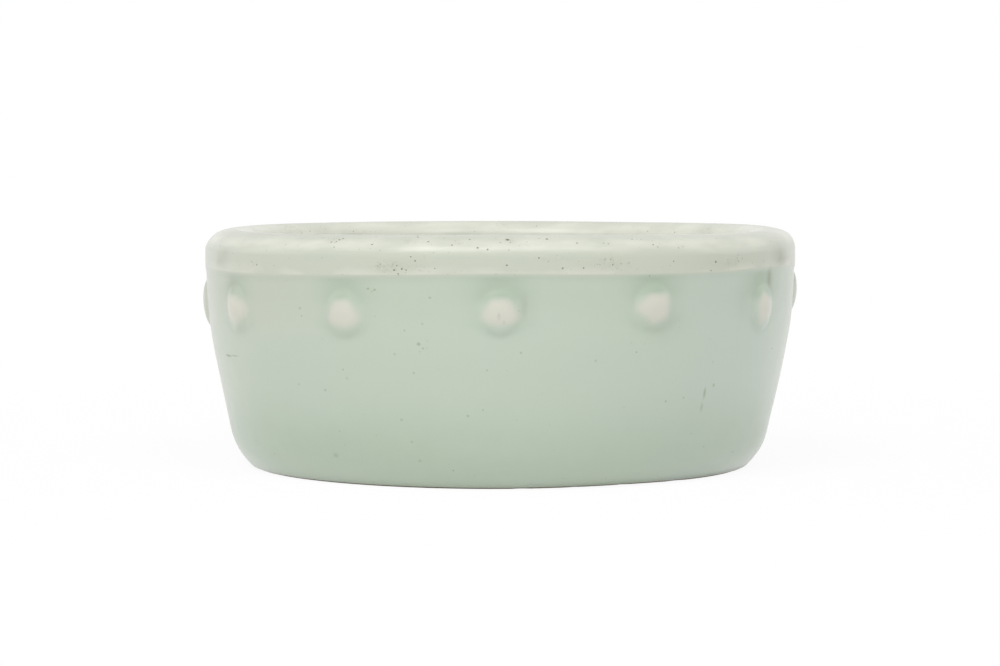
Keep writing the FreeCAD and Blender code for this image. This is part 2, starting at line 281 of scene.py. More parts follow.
def coat_bends(shape):
    """The glazed surface's arcs from the foot up, over the mouth and down to the floor. Each is tangent to
    the next, or to the straight between them."""
    level = math.pi
    wall_end = -math.asin(shape.neck_drop / shape.wall_curve)
    wall_centre = (NECK_RADIUS - shape.wall_curve, NECK_HEIGHT)
    wall = Bend(wall_centre, shape.wall_curve, -shape.wall_lean, wall_end)
    hollow_centre = wall.at(wall_end) + shape.neck_fillet * heading(wall_end)
    edge_inside = COLLAR_RADIUS - shape.edge_radius
    s_radii = shape.edge_radius + shape.neck_fillet
    s_angle = math.acos((hollow_centre[0] - edge_inside) / s_radii)
    edge_centre = (edge_inside, hollow_centre[1] + s_radii * math.sin(s_angle))
    wall_normal = heading(-shape.wall_lean)
    wall_reach = wall.at(-shape.wall_lean) @ wall_normal
    corner = crossing(wall_normal, wall_reach - shape.corner_radius, (0, 1), shape.corner_height)
    crest = COLLAR_RADIUS - shape.crest_inset
    gap = shape.crown_radius - shape.shoulder_radius
    shoulder_angle = math.acos((shape.crest_inset - shape.shoulder_radius) / gap)
    crown = np.array([crest, HEIGHT - shape.crown_radius])
    nose_end = level + shape.undercut_angle
    nose = Bend((crest, HEIGHT - shape.nose_radius), shape.nose_radius, level / 2, nose_end)
    under_normal = heading(nose_end)
    under_reach = nose.at(nose_end) @ under_normal + shape.undercut_radius
    well_end = level - shape.well_lean
    well_normal = heading(well_end)
    well_reach = np.array([NECK_RADIUS - shape.wall_thickness - 2 * GLAZE, NECK_HEIGHT]) @ well_normal
    under = crossing(under_normal, under_reach, well_normal, well_reach + shape.undercut_radius)
    floor_height = RECESS_DEPTH + shape.floor_thickness + GLAZE
    well = crossing(well_normal, well_reach + shape.well_corner, (0, 1), floor_height + shape.well_corner)
    shoulder_centre = (COLLAR_RADIUS - shape.shoulder_radius, crown[1] + gap * math.sin(shoulder_angle))
    return [
        Bend(corner, shape.corner_radius, 0, -shape.wall_lean),
        wall,
        Bend(hollow_centre, shape.neck_fillet, wall_end, -s_angle, hollow=True),
        Bend(edge_centre, shape.edge_radius, -s_angle, 0),
        Bend(shoulder_centre, shape.shoulder_radius, 0, shoulder_angle),
        Bend(crown, shape.crown_radius, shoulder_angle, level / 2),
        nose,
        Bend(under, shape.undercut_radius, nose_end, well_end, hollow=True),
        Bend(well, shape.well_corner, well_end, level / 2, hollow=True),
    ]


def coat_section(shape, inset, gap, turn):
    """Points and normals of the coat's surface, inset below the glaze, from the glaze line to the floor's
    centre. The wall's arc, where the bosses are, is sampled twice as finely as the rest."""
    points = []
    normals = []
    bends = coat_bends(shape)
    bends[0].start = bends[0].angle_at(GLAZE_LINE if inset else GLAZE_LINE - shape.glaze_run, inset)
    for bend in bends:
        fine = gap / 2 if bend is bends[1] else gap
        arc, arc_normals = bend.sampled(fine, turn, inset)
        if points:
            stretch = np.linalg.norm(arc[0] - points[-1][-1])
            steps = math.ceil(stretch / (2 * gap))
            shares = np.linspace(0, 1, steps + 1)[1:-1, None]
            points.append(points[-1][-1] * (1 - shares) + arc[0] * shares)
            normals.append(np.repeat(arc_normals[:1], len(shares), axis=0))
            if stretch < gap / 1000:
                arc, arc_normals = arc[1:], arc_normals[1:]
        points.append(arc)
        normals.append(arc_normals)
    edge = points[-1][-1]
    inward = np.linspace(1, 0, math.ceil(edge[0] / (3 * gap)))[1:, None]
    points.append(np.hstack([edge[0] * inward, np.full_like(inward, edge[1])]))
    normals.append(np.repeat([[0.0, 1.0]], len(inward), axis=0))
    return np.concatenate(points), np.concatenate(normals)


def boss_places():
    """Each boss's centre on the clay wall and its outward axis, from the middle of its node's box: the
    angle about Z is that of the middle, and the axis is the wall's normal at the middle's height."""
    shape = bpy.context.scene.washer_shape
    wall = coat_bends(shape)[1]
    middles = np.array([(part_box(name)[0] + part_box(name)[1]) / 2 for name in BOSS_NODES])
    turn = np.arctan2(middles[:, 1], middles[:, 0])
    normal = np.arcsin((middles[:, 2] - wall.centre[1]) / (wall.radius - GLAZE))
    radius, height = wall.at(normal, GLAZE).T
    centres = np.stack([radius * np.cos(turn), radius * np.sin(turn), height], axis=1)
    axes = np.stack([np.cos(normal) * np.cos(turn), np.cos(normal) * np.sin(turn), np.sin(normal)], axis=1)
    return turn, centres, axes


def boss_face(distance, shape, cover):
    """Height of a boss's face over the wall's clay at a distance from its axis: centre height plus
    sqrt(radius^2 - offset^2) on the crown and on the shoulder, and under the glaze centre height minus
    sqrt(radius^2 - offset^2) on the hollow meniscus."""
    crown_centre = shape.boss_height - shape.boss_crown
    across = shape.boss_radius - shape.boss_shoulder
    shoulder_centre = crown_centre + math.sqrt((shape.boss_crown - shape.boss_shoulder) ** 2 - across**2)
    crown = shape.boss_crown + cover
    shoulder = shape.boss_shoulder + cover
    join = crown * across / (shape.boss_crown - shape.boss_shoulder)
    face = crown_centre + np.sqrt(np.maximum(crown**2 - distance**2, 0))
    round_edge = shoulder_centre + np.sqrt(np.maximum(shoulder**2 - (distance - across) ** 2, 0))
    face = np.where(distance > join, round_edge, face)
    if not cover:
        return np.where(distance > across + shoulder, -shape.boss_radius, face)
    hollow = shape.boss_meniscus
    skirt = GLAZE - (shape.boss_radius + hollow) ** 2 / (2 * COLLAR_RADIUS)
    rise = skirt + hollow - shoulder_centre
    reach = math.sqrt((shoulder + hollow) ** 2 - rise**2)
    meniscus = skirt + hollow - np.sqrt(np.maximum(hollow**2 - (across + reach - distance) ** 2, 0))
    touch = across + reach * shoulder / (shoulder + hollow)
    face = np.where(distance > touch, meniscus, face)
    return np.where(distance > across + reach, -shape.boss_radius, face)


def smoothstep(value, low, high):
    """0 below low, 1 above high, and 3t^2 - 2t^3 between."""
    t = np.clip((value - low) / (high - low), 0, 1)
    return t * t * (3 - 2 * t)


def bell(value, middle, width):
    """exp(-((value - middle) / width)^2)."""
    return np.exp(-(((value - middle) / width) ** 2))


def soft_rise(value, blend):
    """A smooth max(value, 0): (value + sqrt(value^2 + blend^2)) / 2, less its floor far below zero."""
    return np.maximum((value + np.sqrt(value**2 + blend**2)) / 2 - blend / 50, 0)


def column_angles(shape):
    """Angles about Z, close together across each boss and wider between bosses."""
    turns, _, _ = boss_places()
    turns = np.sort(turns % (2 * math.pi))
    half = 1.35 * shape.boss_radius / COLLAR_RADIUS
    starts = turns - half
    ends = turns + half
    following = np.append(starts[1:], starts[0] + 2 * math.pi)
    on_boss = np.linspace(0, 1, shape.columns_on_boss, endpoint=False)
    between = np.linspace(0, 1, shape.columns_between, endpoint=False)
    over = starts[:, None] + (ends - starts)[:, None] * on_boss
    apart = ends[:, None] + (following - ends)[:, None] * between
    return np.hstack([over, apart]).ravel()


def from_front(angles):
    """Angles about Z as degrees from the front towards +X, between -180 and 180."""
    return (np.degrees(angles) + 90 + 180) % 360 - 180


def turned_grid(points, angles):
    """Rows of points (radius, height) carried about Z: x = r cos, y = r sin, z = height."""
    radius = points[:, 0, None]
    height = np.broadcast_to(points[:, 1, None], (len(points), len(angles)))
    return np.stack([radius * np.cos(angles), radius * np.sin(angles), height], axis=-1)


def spread_out(angles, outward, upward):
    """Steps away from the axis and up, as x, y and z, for a grid whose columns stand at these angles."""
    outward, upward = np.broadcast_arrays(outward + 0 * angles, upward)
    return np.stack([outward * np.cos(angles), outward * np.sin(angles), upward], axis=-1)


def boss_lift(grid, shape, cover, blend):
    """How far each grid point rises along the axis of its nearest boss so that it lies on the boss's face,
    that axis, which boss it is, and how far sideways and up the point lies from the boss's centre. A
    point's height over the boss's plane is its dot product with the axis."""
    turns, centres, axes = boss_places()
    sides = np.stack([-np.sin(turns), np.cos(turns), 0 * turns], axis=1)
    ups = np.cross(axes, sides)
    away = grid[:, :, None, :] - centres
    height = np.sum(away * axes, axis=-1)
    across = np.sum(away * sides, axis=-1)
    upward = np.sum(away * ups, axis=-1)
    reach = np.hypot(across, upward) + np.where(np.abs(height) > 3 * MM, 1.0, 0.0)
    nearest = np.argmin(reach, axis=-1)
    pick = nearest[..., None]
    height, across, upward, reach = (
        np.take_along_axis(values, pick, -1)[..., 0] for values in (height, across, upward, reach)
    )
    across = np.where(reach > 0.5, 1.0, across)
    lowered = upward + np.array(BOSS_DROPS)[nearest] * MM * (cover > 0)
    sloped = np.where(lowered < 0, shape.boss_slump, 1.0)
    stretched = lowered / np.where(cover > 0, np.array(BOSS_STRETCHES)[nearest] * sloped, 1.0)
    distance = np.where(reach < 2 * shape.boss_radius, np.hypot(across, stretched), 1.0)
    fading = 1 - smoothstep(distance, 0.5 * shape.boss_radius, 1.1 * shape.boss_radius)
    swell = np.array(BOSS_SWELLS)[nearest] * MM * fading
    over = boss_face(distance, shape, cover) + swell * (cover > 0) - height
    lift = soft_rise(over, blend) if blend else np.maximum(over, 0)
    return np.where(distance < 2 * shape.boss_radius, lift, 0), axes[nearest], nearest, across, upward


def grid_mesh(name, rows, closed, caps=None):
    """A mesh object from rows of points, each row a closed ring. Quads join row i to row i + 1, and the
    last row to the first where closed. caps are the two points that the first and last row fan in to."""
    count, columns = rows.shape[:2]
    index = np.arange(count * columns).reshape(count, columns)
    following = np.roll(index, -1, axis=1)
    upper = np.roll(index, -1, axis=0) if closed else index[1:]
    upper_following = np.roll(following, -1, axis=0) if closed else following[1:]
    lower = index if closed else index[:-1]
    lower_following = following if closed else following[:-1]
    quads = np.stack([lower, lower_following, upper_following, upper], axis=-1).reshape(-1, 4)
    points = rows.reshape(-1, 3)
    faces = quads.tolist()
    if caps is not None:
        points = np.vstack([points, caps])
        first, last = len(points) - 2, len(points) - 1
        faces += np.stack([following[0], index[0], np.full(columns, first)], axis=-1).tolist()
        faces += np.stack([index[-1], following[-1], np.full(columns, last)], axis=-1).tolist()
    mesh = bpy.data.meshes.new(name)
    mesh.from_pydata(points.tolist(), [], faces)
    mesh.polygons.foreach_set("use_smooth", np.ones(len(faces), bool))
    mesh.update()
    piece = bpy.data.objects.new(name, mesh)
    bpy.context.scene.collection.objects.link(piece)
    return piece


def paint(piece, name, values, caps=None):
    """Stores one number for each point of the mesh, for its material to read."""
    flat = values.ravel()
    if caps is not None:
        flat = np.append(flat, caps)
    piece.data.attributes.new(name, "FLOAT", "POINT").data.foreach_set("value", flat.astype(np.float32))


class Value:
    """A number's socket in a node tree. Python's operators on it add Math nodes."""

    def __init__(self, nodes, socket):
        self.nodes = nodes
        self.socket = socket

    def joined(self, operation, first, second):
        """The Math node for an operation on two numbers."""
        return self.nodes.number("ShaderNodeMath", {"operation": operation}, {0: first, 1: second})

    def __add__(self, other):
        return self.joined("ADD", self, other)

    def __radd__(self, other):
        return self.joined("ADD", other, self)

    def __sub__(self, other):
        return self.joined("SUBTRACT", self, other)

    def __rsub__(self, other):
        return self.joined("SUBTRACT", other, self)

    def __mul__(self, other):
        return self.joined("MULTIPLY", self, other)

    def __rmul__(self, other):
        return self.joined("MULTIPLY", other, self)

    def __gt__(self, other):
        return self.joined("GREATER_THAN", self, other)

    def clamped(self):
        """The number kept between 0 and 1."""
        return self.nodes.number("ShaderNodeClamp", {}, {0: self, 1: 0.0, 2: 1.0})

    def ramp(self, low, high):
        """0 below low, 1 above high, smooth between."""
        settings = {"interpolation_type": "SMOOTHSTEP"}
        return self.nodes.number("ShaderNodeMapRange", settings, {0: self, 1: low, 2: high, 3: 0.0, 4: 1.0})


class Nodes:
    """A node tree that nodes are added to."""

    def __init__(self, tree):
        self.tree = tree

    def node(self, kind, settings=None, inputs=None):
        """Adds a node. Settings come first, then each input is set to a number or linked to a socket."""
        node = self.tree.nodes.new(kind)
        for key, value in (settings or {}).items():
            setattr(node, key, value)
        for key, value in (inputs or {}).items():
            socket = node.inputs[key]
            source = value.socket if isinstance(value, Value) else value
            if isinstance(source, bpy.types.NodeSocket):
                self.tree.links.new(source, socket)
            elif isinstance(source, (int, float)):
                socket.default_value = source
            else:
                source = tuple(source)
                socket.default_value = source + (1.0,) * (len(socket.default_value) - len(source))
        return node

    def number(self, kind, settings=None, inputs=None, output=0):
        """The same, for a node whose output is a number."""
        return Value(self, self.node(kind, settings, inputs).outputs[output])


class Finish(Nodes):
    """A material under construction, round one Principled shader."""

    def __init__(self, name):
        self.material = bpy.data.materials.new(name)
        self.material.use_nodes = True
        super().__init__(self.material.node_tree)
        self.tree.nodes.clear()
        self.surface = self.node("ShaderNodeBsdfPrincipled")
        self.output = self.node("ShaderNodeOutputMaterial", {}, {0: self.surface.outputs[0]})
        self.place = self.node("ShaderNodeTexCoord").outputs["Object"]

    def painted(self, name):
        """A number stored on the mesh."""
        return self.number("ShaderNodeAttribute", {"attribute_name": name}, {}, "Fac")

    def noise(self, size, detail=2.0, rough=0.5, place=None):
        """Soft noise from 0 to 1 whose clouds are about that wide."""
        inputs = {"Vector": place or self.place, "Scale": 1 / size, "Detail": detail, "Roughness": rough}
        return self.number("ShaderNodeTexNoise", {}, inputs, "Fac")

    def squeezed(self, x, y, z):
        """The place, scaled along each axis, so that a pattern on it stretches the other way."""
        inputs = {0: self.place, 1: (x, y, z)}
        return self.node("ShaderNodeVectorMath", {"operation": "MULTIPLY"}, inputs).outputs[0]

    def near(self, centre, sizes):
        """1 at a centre, falling to 0 at the surface of an ellipsoid with those half sizes."""
        away = self.node("ShaderNodeVectorMath", {"operation": "SUBTRACT"}, {0: self.place, 1: centre})
        scaled = self.node("ShaderNodeVectorMath", {"operation": "DIVIDE"}, {0: away.outputs[0], 1: sizes})
        reach = self.number("ShaderNodeVectorMath", {"operation": "LENGTH"}, {0: scaled.outputs[0]}, "Value")
        return (1 - reach).clamped()

    def mixed(self, factor, first, second):
        """The first colour, turning into the second as factor goes from 0 to 1."""
        inputs = {0: factor, 6: first, 7: second}
        return self.node("ShaderNodeMix", {"data_type": "RGBA"}, inputs).outputs[2]

    def cells(self, size):
        """Scattered points about that far apart: the distance to the nearest, in those sizes, and two
        numbers from 0 to 1 that are its own."""
        inputs = {"Vector": self.place, "Scale": 1 / size, "Randomness": 1.0}
        node = self.node("ShaderNodeTexVoronoi", {"voronoi_dimensions": "3D"}, inputs)
        split = self.node("ShaderNodeSeparateColor", {}, {0: node.outputs["Color"]})
        sockets = (node.outputs["Distance"], split.outputs[0], split.outputs[1])
        return [Value(self, socket) for socket in sockets]

    def bumped(self, height, distance, strength):
        """Tilts the surface as a relief of that height would."""
        inputs = {"Height": height, "Distance": distance, "Strength": strength}
        return self.node("ShaderNodeBump", {}, inputs).outputs[0]

    def set(self, **inputs):
        """Sets or links the Principled shader's inputs, named with _ for a space."""
        for key, value in inputs.items():
            socket = self.surface.inputs[key.replace("_", " ")]
            source = value.socket if isinstance(value, Value) else value
            if isinstance(source, bpy.types.NodeSocket):
                self.tree.links.new(source, socket)
            else:
                socket.default_value = source


def round_the_bowl(turn, height, radius):
    """The point at an angle in degrees from the front towards +X, and a height and a radius in mm."""
    angle = math.radians(turn - 90)
    return Vector((radius * math.cos(angle), radius * math.sin(angle), height)) * MM


# Small stains in the glaze: degrees from the front towards +X, height and radius in mm, half its width and
# half its height in mm, and how dark it is
STAINS = (
    (-67.0, 23.4, 58.2, 2.4, 0.36, 1.0),
    (-63.5, 23.6, 58.2, 2.6, 0.24, 0.6),
    (43.4, 17.4, 57.0, 0.50, 2.1, 0.65),
    (43.2, 14.6, 56.5, 0.60, 1.7, 0.4),
    (45.7, 18.9, 57.3, 0.45, 0.6, 0.6),
    (-0.2, 33.2, 60.5, 0.50, 1.0, 0.22),
    (0.7, 32.0, 60.4, 0.45, 0.8, 0.20),
    (-14.9, 27.9, 58.9, 0.55, 0.5, 0.7),
    (-14.1, 27.1, 58.8, 0.35, 0.3, 0.6),
    (-19.6, 25.9, 58.7, 0.40, 0.4, 0.4),
    (-30.0, 21.0, 57.8, 0.40, 0.4, 0.4),
    (-35.4, 18.5, 57.2, 0.45, 0.4, 0.45),
    (-16.1, 22.4, 58.0, 0.35, 0.4, 0.45),
    (-6.1, 14.4, 56.4, 0.40, 0.3, 0.8),
    (-19.2, 13.4, 56.2, 0.40, 0.35, 0.6),
    (-17.4, 9.2, 55.3, 0.45, 0.35, 0.4),
    (-35.0, 5.9, 54.5, 0.90, 0.7, 0.4),
    (-16.1, 5.6, 54.4, 0.50, 0.35, 0.5),
    (3.8, 26.4, 58.7, 0.35, 0.4, 0.45),
    (17.8, 24.7, 58.4, 0.35, 0.35, 0.5),
    (33.6, 16.4, 56.8, 0.40, 0.35, 0.5),
    (37.9, 16.9, 56.9, 0.35, 0.35, 0.5),
    (41.5, 9.7, 55.4, 0.40, 0.35, 0.4),
    (44.4, 23.5, 58.2, 0.35, 0.35, 0.3),
    (-24.4, 38.1, 59.7, 0.45, 0.3, 0.6),
    (-23.1, 37.9, 59.7, 0.40, 0.3, 0.7),
    (-12.6, 36.6, 59.7, 0.40, 0.3, 0.6),
    (-39.6, 34.0, 59.6, 0.60, 0.4, 0.4),
    (-14.1, 31.7, 59.4, 0.35, 0.35, 0.4),
    (-17.5, 30.4, 59.2, 0.35, 0.35, 0.4),
)

# Patches of painted shade, painted dark reflections at the collar's ends and a few darker clouds in the glaze
# low on the collar's face: degrees from the front, height in mm, half widths in degrees and mm, and how dark
SHADES = (
    (-18.5, 42.1, 4.0, 1.1, 0.07),
    (18.0, 42.4, 4.0, 1.0, 0.07),
    (45.0, 42.7, 6.0, 1.4, 0.10),
    (66.6, 43.2, 3.4, 2.3, 0.42),
    (68.4, 42.4, 2.4, 1.2, 0.26),
    (57.0, 43.5, 6.0, 3.0, 0.06),
    (-63.8, 43.2, 1.8, 2.0, 0.18),
    (-66.3, 42.8, 1.7, 1.2, 0.34),
    (61.6, 38.7, 0.9, 1.6, 0.60),
    (-60.6, 38.0, 2.2, 1.8, 0.26),
    (-64.0, 47.2, 9.0, 1.4, 0.08),
    (66.0, 47.0, 8.0, 1.4, 0.06),
    (72.0, 7.0, 13.0, 6.5, 0.14),
    (-32.0, 9.0, 26.0, 3.5, 0.045),
    (4.4, 35.0, 0.7, 2.2, 0.20),
    (33.0, 31.0, 5.0, 3.0, 0.08),
    (52.0, 35.0, 2.5, 4.0, 0.10),
)

# The largest pinholes: degrees from the front, height and radius of the place and radius of the hole in mm
SPECKS = (
    (1.4, 47.4, 57.8, 0.50),
    (1.9, 46.9, 58.6, 0.22),
    (8.7, 47.5, 57.6, 0.42),
    (-8.7, 46.4, 59.1, 0.25),
    (-51.2, 41.9, 60.0, 0.24),
    (-17.7, 41.9, 60.0, 0.27),
    (-16.9, 41.7, 60.0, 0.20),
    (-19.2, 41.7, 60.0, 0.24),
    (-18.4, 41.0, 60.0, 0.22),
    (-15.2, 43.4, 60.0, 0.22),
    (-16.0, 44.2, 60.0, 0.18),
    (-11.6, 42.1, 60.0, 0.18),
    (-32.8, 46.7, 58.6, 0.30),
    (-31.8, 46.8, 58.5, 0.26),
    (-31.5, 47.1, 57.9, 0.30),
    (-30.9, 47.3, 57.5, 0.26),
    (-16.0, 48.0, 55.9, 0.30),
    (-15.6, 47.8, 56.8, 0.26),
    (-13.2, 47.0, 58.4, 0.28),
    (-5.6, 47.4, 57.7, 0.26),
    (-4.0, 45.9, 59.4, 0.24),
    (-2.2, 45.6, 59.6, 0.22),
    (-23.9, 46.4, 59.0, 0.24),
    (14.1, 46.8, 58.7, 0.26),
    (29.1, 46.3, 59.1, 0.24),
    (45.6, 47.2, 57.8, 0.26),
    (1.2, 42.7, 60.0, 0.25),
    (6.9, 44.0, 60.0, 0.20),
    (11.2, 42.1, 60.0, 0.22),
    (19.2, 46.7, 58.8, 0.22),
    (20.1, 46.6, 58.9, 0.20),
    (15.0, 42.1, 60.0, 0.22),
    (20.5, 42.7, 60.0, 0.20),
    (20.1, 43.6, 60.0, 0.18),
    (25.4, 47.4, 57.7, 0.26),
    (33.0, 43.1, 60.0, 0.20),
    (43.2, 42.7, 60.0, 0.27),
    (41.9, 41.1, 60.0, 0.18),
    (49.3, 43.3, 60.0, 0.20),
    (49.7, 42.6, 60.0, 0.20),
)


def glaze_finish():
    """Pale celadon. Its colour follows the painted thickness: cream where it ran thinly over an edge or a
    boss, green where it pooled, with broad cool patches, pinholes and small stains. On top of that it carries
    painted
    light: a painted highlight on the collar and a painted reflection at the sides in the cream, painted shade
    under the collar and low on the wall in the green, and painted shade and dark reflections in grey patches."""
    look = bpy.context.scene.washer_look
    finish = Finish("celadon_glaze")
    thin = finish.painted("thin")
    pool = finish.painted("pool")
    tip = finish.painted("tip")
    pits = finish.painted("pits")
    shade = finish.painted("shade")
    cool = finish.painted("cool")
    drift = (finish.noise(look.drift_size, 2.0).ramp(0.35, 0.65) * 0.5 + cool).clamped()
    cloud = finish.noise(look.cloud_size, 3.0, 0.6)
    streak = finish.noise(look.cloud_size * 2, 2.0, 0.5, finish.squeezed(1, 1, 3.0)).ramp(0.3, 0.7)
    body = finish.mixed(drift, look.wall_green, look.wall_grey)
    # The painted thickness here also carries the painted highlight on the collar and the painted reflection
    # at the sides
    worn = thin * (0.85 + 0.3 * streak)
    body = finish.mixed((worn * 1.7).clamped(), body, look.rim_cream)
    body = finish.mixed(((worn - 0.6) * 2.5).clamped(), body, look.edge_cream)
    # Pooled glaze, with painted shade under the collar and low on the wall, turns the colour greener
    body = finish.mixed((pool * (0.8 + 0.4 * cloud)).clamped(), body, look.pool_green)
    # Painted shade and dark reflections, with a few darker clouds in the glaze, turn the colour greyer
    body = finish.mixed((shade * (0.7 + 0.6 * cloud)).clamped(), body, look.shade_grey)
    body = finish.mixed((tip * (0.8 + 0.3 * cloud)).clamped(), body, look.tip_cream)
    fine = finish.noise(0.7 * MM, 2.0, 0.6)
    gap, chance, grade = finish.cells(look.pit_spacing)
    hole = ((pits * 0.85) > chance) * (1 - gap.ramp(0.05, 0.26)) * (0.3 + 0.7 * grade)
    gap, chance, grade = finish.cells(look.pit_spacing * 0.55)
    prick = ((pits * 0.55) > chance) * (1 - gap.ramp(0.05, 0.30)) * (0.2 + 0.6 * grade)
    jitter = finish.node("ShaderNodeTexNoise", {}, {"Vector": finish.place, "Scale": 1.4 / MM, "Detail": 1.0})
    inputs = {0: jitter.outputs["Color"], 3: 2 * look.speck_wobble}
    wobble = finish.node("ShaderNodeVectorMath", {"operation": "SCALE"}, inputs)
    inputs = {0: finish.place, 1: wobble.outputs[0]}
    ragged = finish.node("ShaderNodeVectorMath", {"operation": "ADD"}, inputs)
    large = 0.0
    for turn, height, radius, size in SPECKS:
        centre = round_the_bowl(turn, height, radius) + Vector((1, 1, 1)) * look.speck_wobble
        inputs = {0: ragged.outputs[0], 1: centre}
        away = finish.number("ShaderNodeVectorMath", {"operation": "DISTANCE"}, inputs, "Value")
        large = large + (1 - away.ramp(0.35 * size * MM, size * MM))
    hole = (hole + prick + large).clamped()
    soot = (pits * 0.9 - 0.25).clamped() * fine.ramp(0.40, 0.65)
    body = finish.mixed((hole * 0.85 + soot * 0.3).clamped(), body, look.pit_brown)
    marks = 0.0
    for turn, height, radius, width, tall, depth in STAINS:
        spot = finish.near(round_the_bowl(turn, height, radius), (width * MM, width * MM, tall * MM))
        marks = marks + spot.ramp(0.0, 0.8) * depth
    marks = (marks * (0.5 + fine)).clamped()
    body = finish.mixed(marks, body, look.smudge_green)
    peel = finish.noise(look.peel_size, 2.0)
    relief = peel + fine * 0.10 - hole * 2.2
    finish.set(
        Base_Color=body,
        Roughness=look.gloss_roughness + 0.10 * cloud + 0.35 * hole,
        Normal=finish.bumped(relief, 0.05 * MM, 0.5),
        IOR=1.46,
        Coat_Weight=0.35,
        Coat_IOR=1.2,
        Coat_Roughness=0.15,
    )
    return finish.material


def clay_finish(name, shown, dark, coarse=1.0):
    """Fired clay: matt, with a grain, darker grit and faint rings from the wheel."""
    look = bpy.context.scene.washer_look
    finish = Finish(name)
    grain = finish.noise(look.grit_size * coarse, 4.0, 0.7)
    broad = finish.noise(20 * look.grit_size, 2.0)
    rings = finish.noise(look.grit_size, 2.0, 0.5, finish.squeezed(0.02, 0.02, 1.0))
    gap, chance, _ = finish.cells(look.grit_size * 1.6)
    grit = (chance > 0.86) * (1 - gap.ramp(0.10, 0.35))
    burn = (broad.ramp(0.35, 0.7) * 0.6 + grain.ramp(0.4, 0.75) * 0.35).clamped()
    body = finish.mixed(burn, shown, dark)
    body = finish.mixed(grit * 0.7, body, look.grit_brown)
    finish.set(
        Base_Color=body,
        Roughness=0.78 + 0.15 * grain,
        Normal=finish.bumped(grain * 0.7 + rings * 0.5 + grit * 0.6, 0.08 * MM, 0.6),
        IOR=1.45,
    )
    return finish.material


def dressed(piece, finish):
    """Gives a new piece its material and its body."""
    piece.data.materials.clear()
    piece.data.materials.append(finish)
    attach(piece, "root")


def known(maker, name, *arguments):
    """The material of that name, made the first time that it is asked for."""
    return bpy.data.materials.get(name) or maker(*arguments)


def pit_density(turn, height):
    """How likely pinholes are: a few everywhere, more on the collar, and most in clusters, each a bell
    round an angle in degrees from the front and a height. Behind, the clusters are scattered by chance."""
    clusters = (
        (-20.5, 42.2, 3.2, 1.3, 1.0),
        (-14.0, 43.0, 2.2, 1.1, 0.6),
        (20.0, 43.2, 2.2, 1.1, 1.0),
        (24.0, 42.2, 2.0, 0.8, 0.4),
        (47.5, 42.6, 2.2, 0.9, 0.9),
        (9.5, 43.8, 4.0, 0.8, 0.5),
        (-33.0, 47.4, 1.8, 0.7, 1.0),
        (-24.0, 47.0, 3.0, 0.5, 0.5),
        (-16.5, 47.2, 1.3, 0.7, 0.9),
        (-13.5, 46.8, 1.2, 0.5, 0.8),
        (-7.5, 46.8, 3.0, 0.6, 0.6),
        (4.5, 46.5, 4.0, 0.5, 0.5),
        (1.7, 47.4, 0.9, 0.5, 1.0),
        (9.0, 47.6, 0.7, 0.4, 0.8),
        (-53.0, 42.2, 1.5, 0.7, 0.9),
        (-23.5, 38.2, 1.3, 0.6, 0.7),
        (-14.5, 27.5, 1.6, 1.6, 0.35),
        (33.0, 47.0, 3.0, 0.7, 0.4),
    )
    behind = np.random.default_rng(12)
    angles = np.arange(75, 290, 17) + behind.uniform(-7, 7, 13)
    ranges = ((41.3, 47.4), (1.5, 4.5), (0.6, 1.3), (0.4, 1))
    scattered = [(angle, *(behind.uniform(*limits) for limits in ranges)) for angle in angles]
    density = 0.008 + 0.06 * smoothstep(height, 40.2 * MM, 41.0 * MM)
    for angle, middle, wide, tall, most in clusters + tuple(scattered):
        away = (turn - angle + 180) % 360 - 180
        density = density + most * bell(away, 0, wide) * bell(height, middle * MM, tall * MM)
    return np.clip(density, 0, 1)


def hand_unevenness(front, tilt, height, inside):
    """How far the hand-made surface stands off the turned one, along its normal: slow waves round the
    outside, a flatter corner low on the right, a swell above it, a full shoulder over that and a tighter
    shoulder on the left."""
    angles = np.radians(front)
    waves = 0.03 * MM * (np.sin(2 * angles + 2.4) + 0.6 * np.sin(3 * angles + 0.5)) - 0.03 * MM
    corner = -0.27 * MM * bell(front, 72, 42) * bell(height, 8 * MM, 5 * MM)
    swell = 0.11 * MM * bell(front, 92, 30) * smoothstep(height, 24 * MM, 30 * MM)
    full = 0.28 * MM * bell(front, 84, 30) * bell(tilt, 52, 26)
    tight = -0.22 * MM * bell(front, -90, 34) * bell(tilt, 38, 26)
    return (waves + corner + swell + (full + tight) * (height > NECK_HEIGHT)) * (1 - inside)


def foot_shift(front, height):
    """How far outward and up the foot's outline stands on the right of the front, where the ring isn't
    quite round or level."""
    inward = 0.45 * bell(front, 34, 24) + 0.25 * bell(front, 70, 22)
    raised = 0.17 * bell(front, 28, 19)
    low = 1 - smoothstep(height, 0.4 * MM, 5 * MM)
    lowest = 1 - smoothstep(height, 0.2 * MM, RECESS_DEPTH)
    return -inward * MM * low, raised * MM * lowest


def round_table(front, values):
    """Evenly spaced values round the bowl, blended by bells round each of their angles."""
    step = 360 / len(values)
    away = (front[..., None] - step * np.arange(len(values)) + 180) % 360 - 180
    weights = bell(away, 0, 0.8 * step)
    return np.sum(weights * np.array(values), axis=-1) / np.sum(weights, axis=-1)


